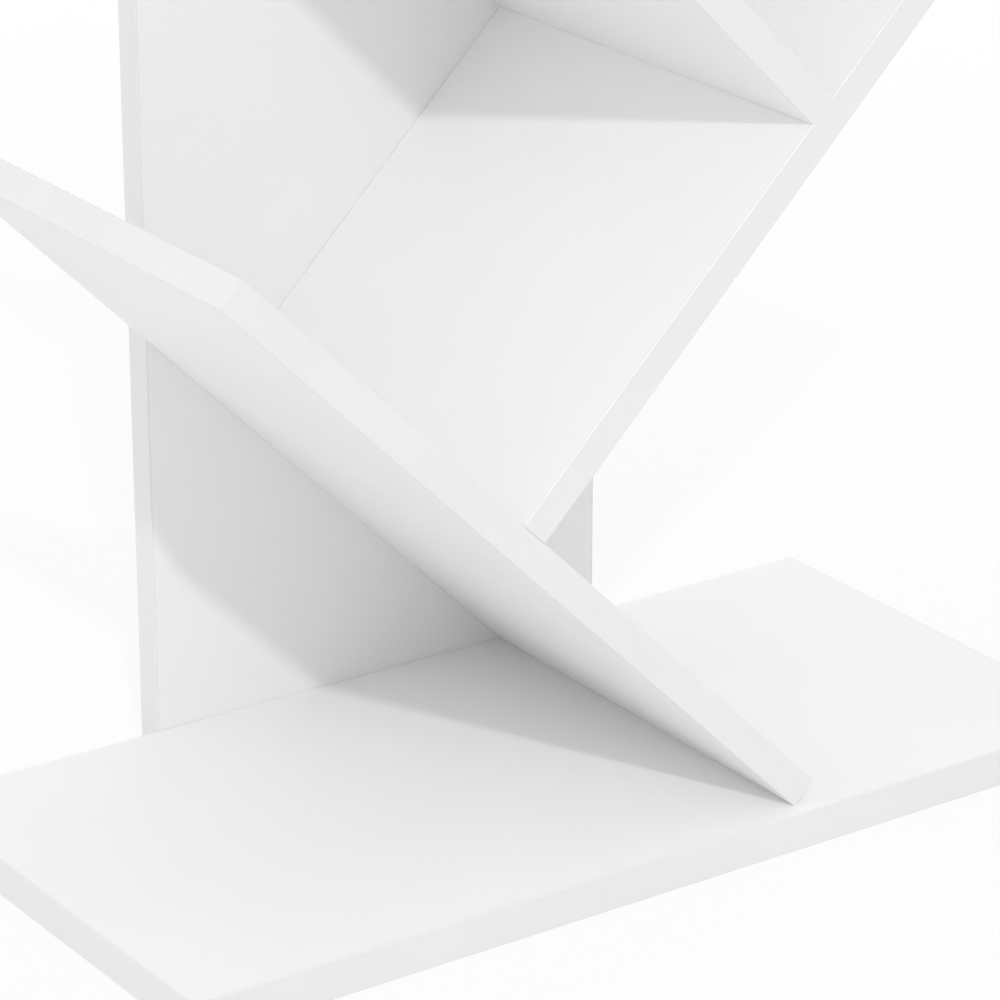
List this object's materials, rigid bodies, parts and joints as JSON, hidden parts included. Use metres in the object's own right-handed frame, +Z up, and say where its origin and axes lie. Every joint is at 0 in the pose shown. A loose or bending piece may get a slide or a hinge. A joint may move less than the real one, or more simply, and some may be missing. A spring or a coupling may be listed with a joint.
{
  "type": "tree shaped bookshelf",
  "caption": "White tree shaped bookshelf: a flat base and a wide trunk board carry slanted branch boards that cross left and right in turn and hold leaning books.",
  "frame": {"origin": "on the floor, at the middle of the shelf's width and of its overall depth", "axes": "+Z up, the front faces -Y, +X to the right seen from the front"},
  "size_m": [0.5, 0.257, 1.4352],
  "materials": {
    "white_laminate": "white melamine on particle board, satin",
    "edge_band": "white plastic edge band, satin",
    "zinc_steel": "zinc plated",
    "beech": "plain beech"
  },
  "bodies": {
    "root": {"base_board": "white_laminate", "trunk_board": "white_laminate", "branch_1": "white_laminate", "branch_2": "white_laminate", "branch_3": "white_laminate", "branch_4": "white_laminate", "branch_5": "white_laminate", "branch_6": "white_laminate", "branch_7": "white_laminate", "branch_8": "white_laminate", "base_board_edging": "edge_band", "trunk_board_edging": "edge_band", "branch_1_edging": "edge_band", "branch_2_edging": "edge_band", "branch_3_edging": "edge_band", "branch_4_edging": "edge_band", "branch_5_edging": "edge_band", "branch_6_edging": "edge_band", "branch_7_edging": "edge_band", "branch_8_edging": "edge_band", "trunk_screws": "zinc_steel", "trunk_dowels": "beech", "foot_dowels": "beech"}
  },
  "joints": []
}
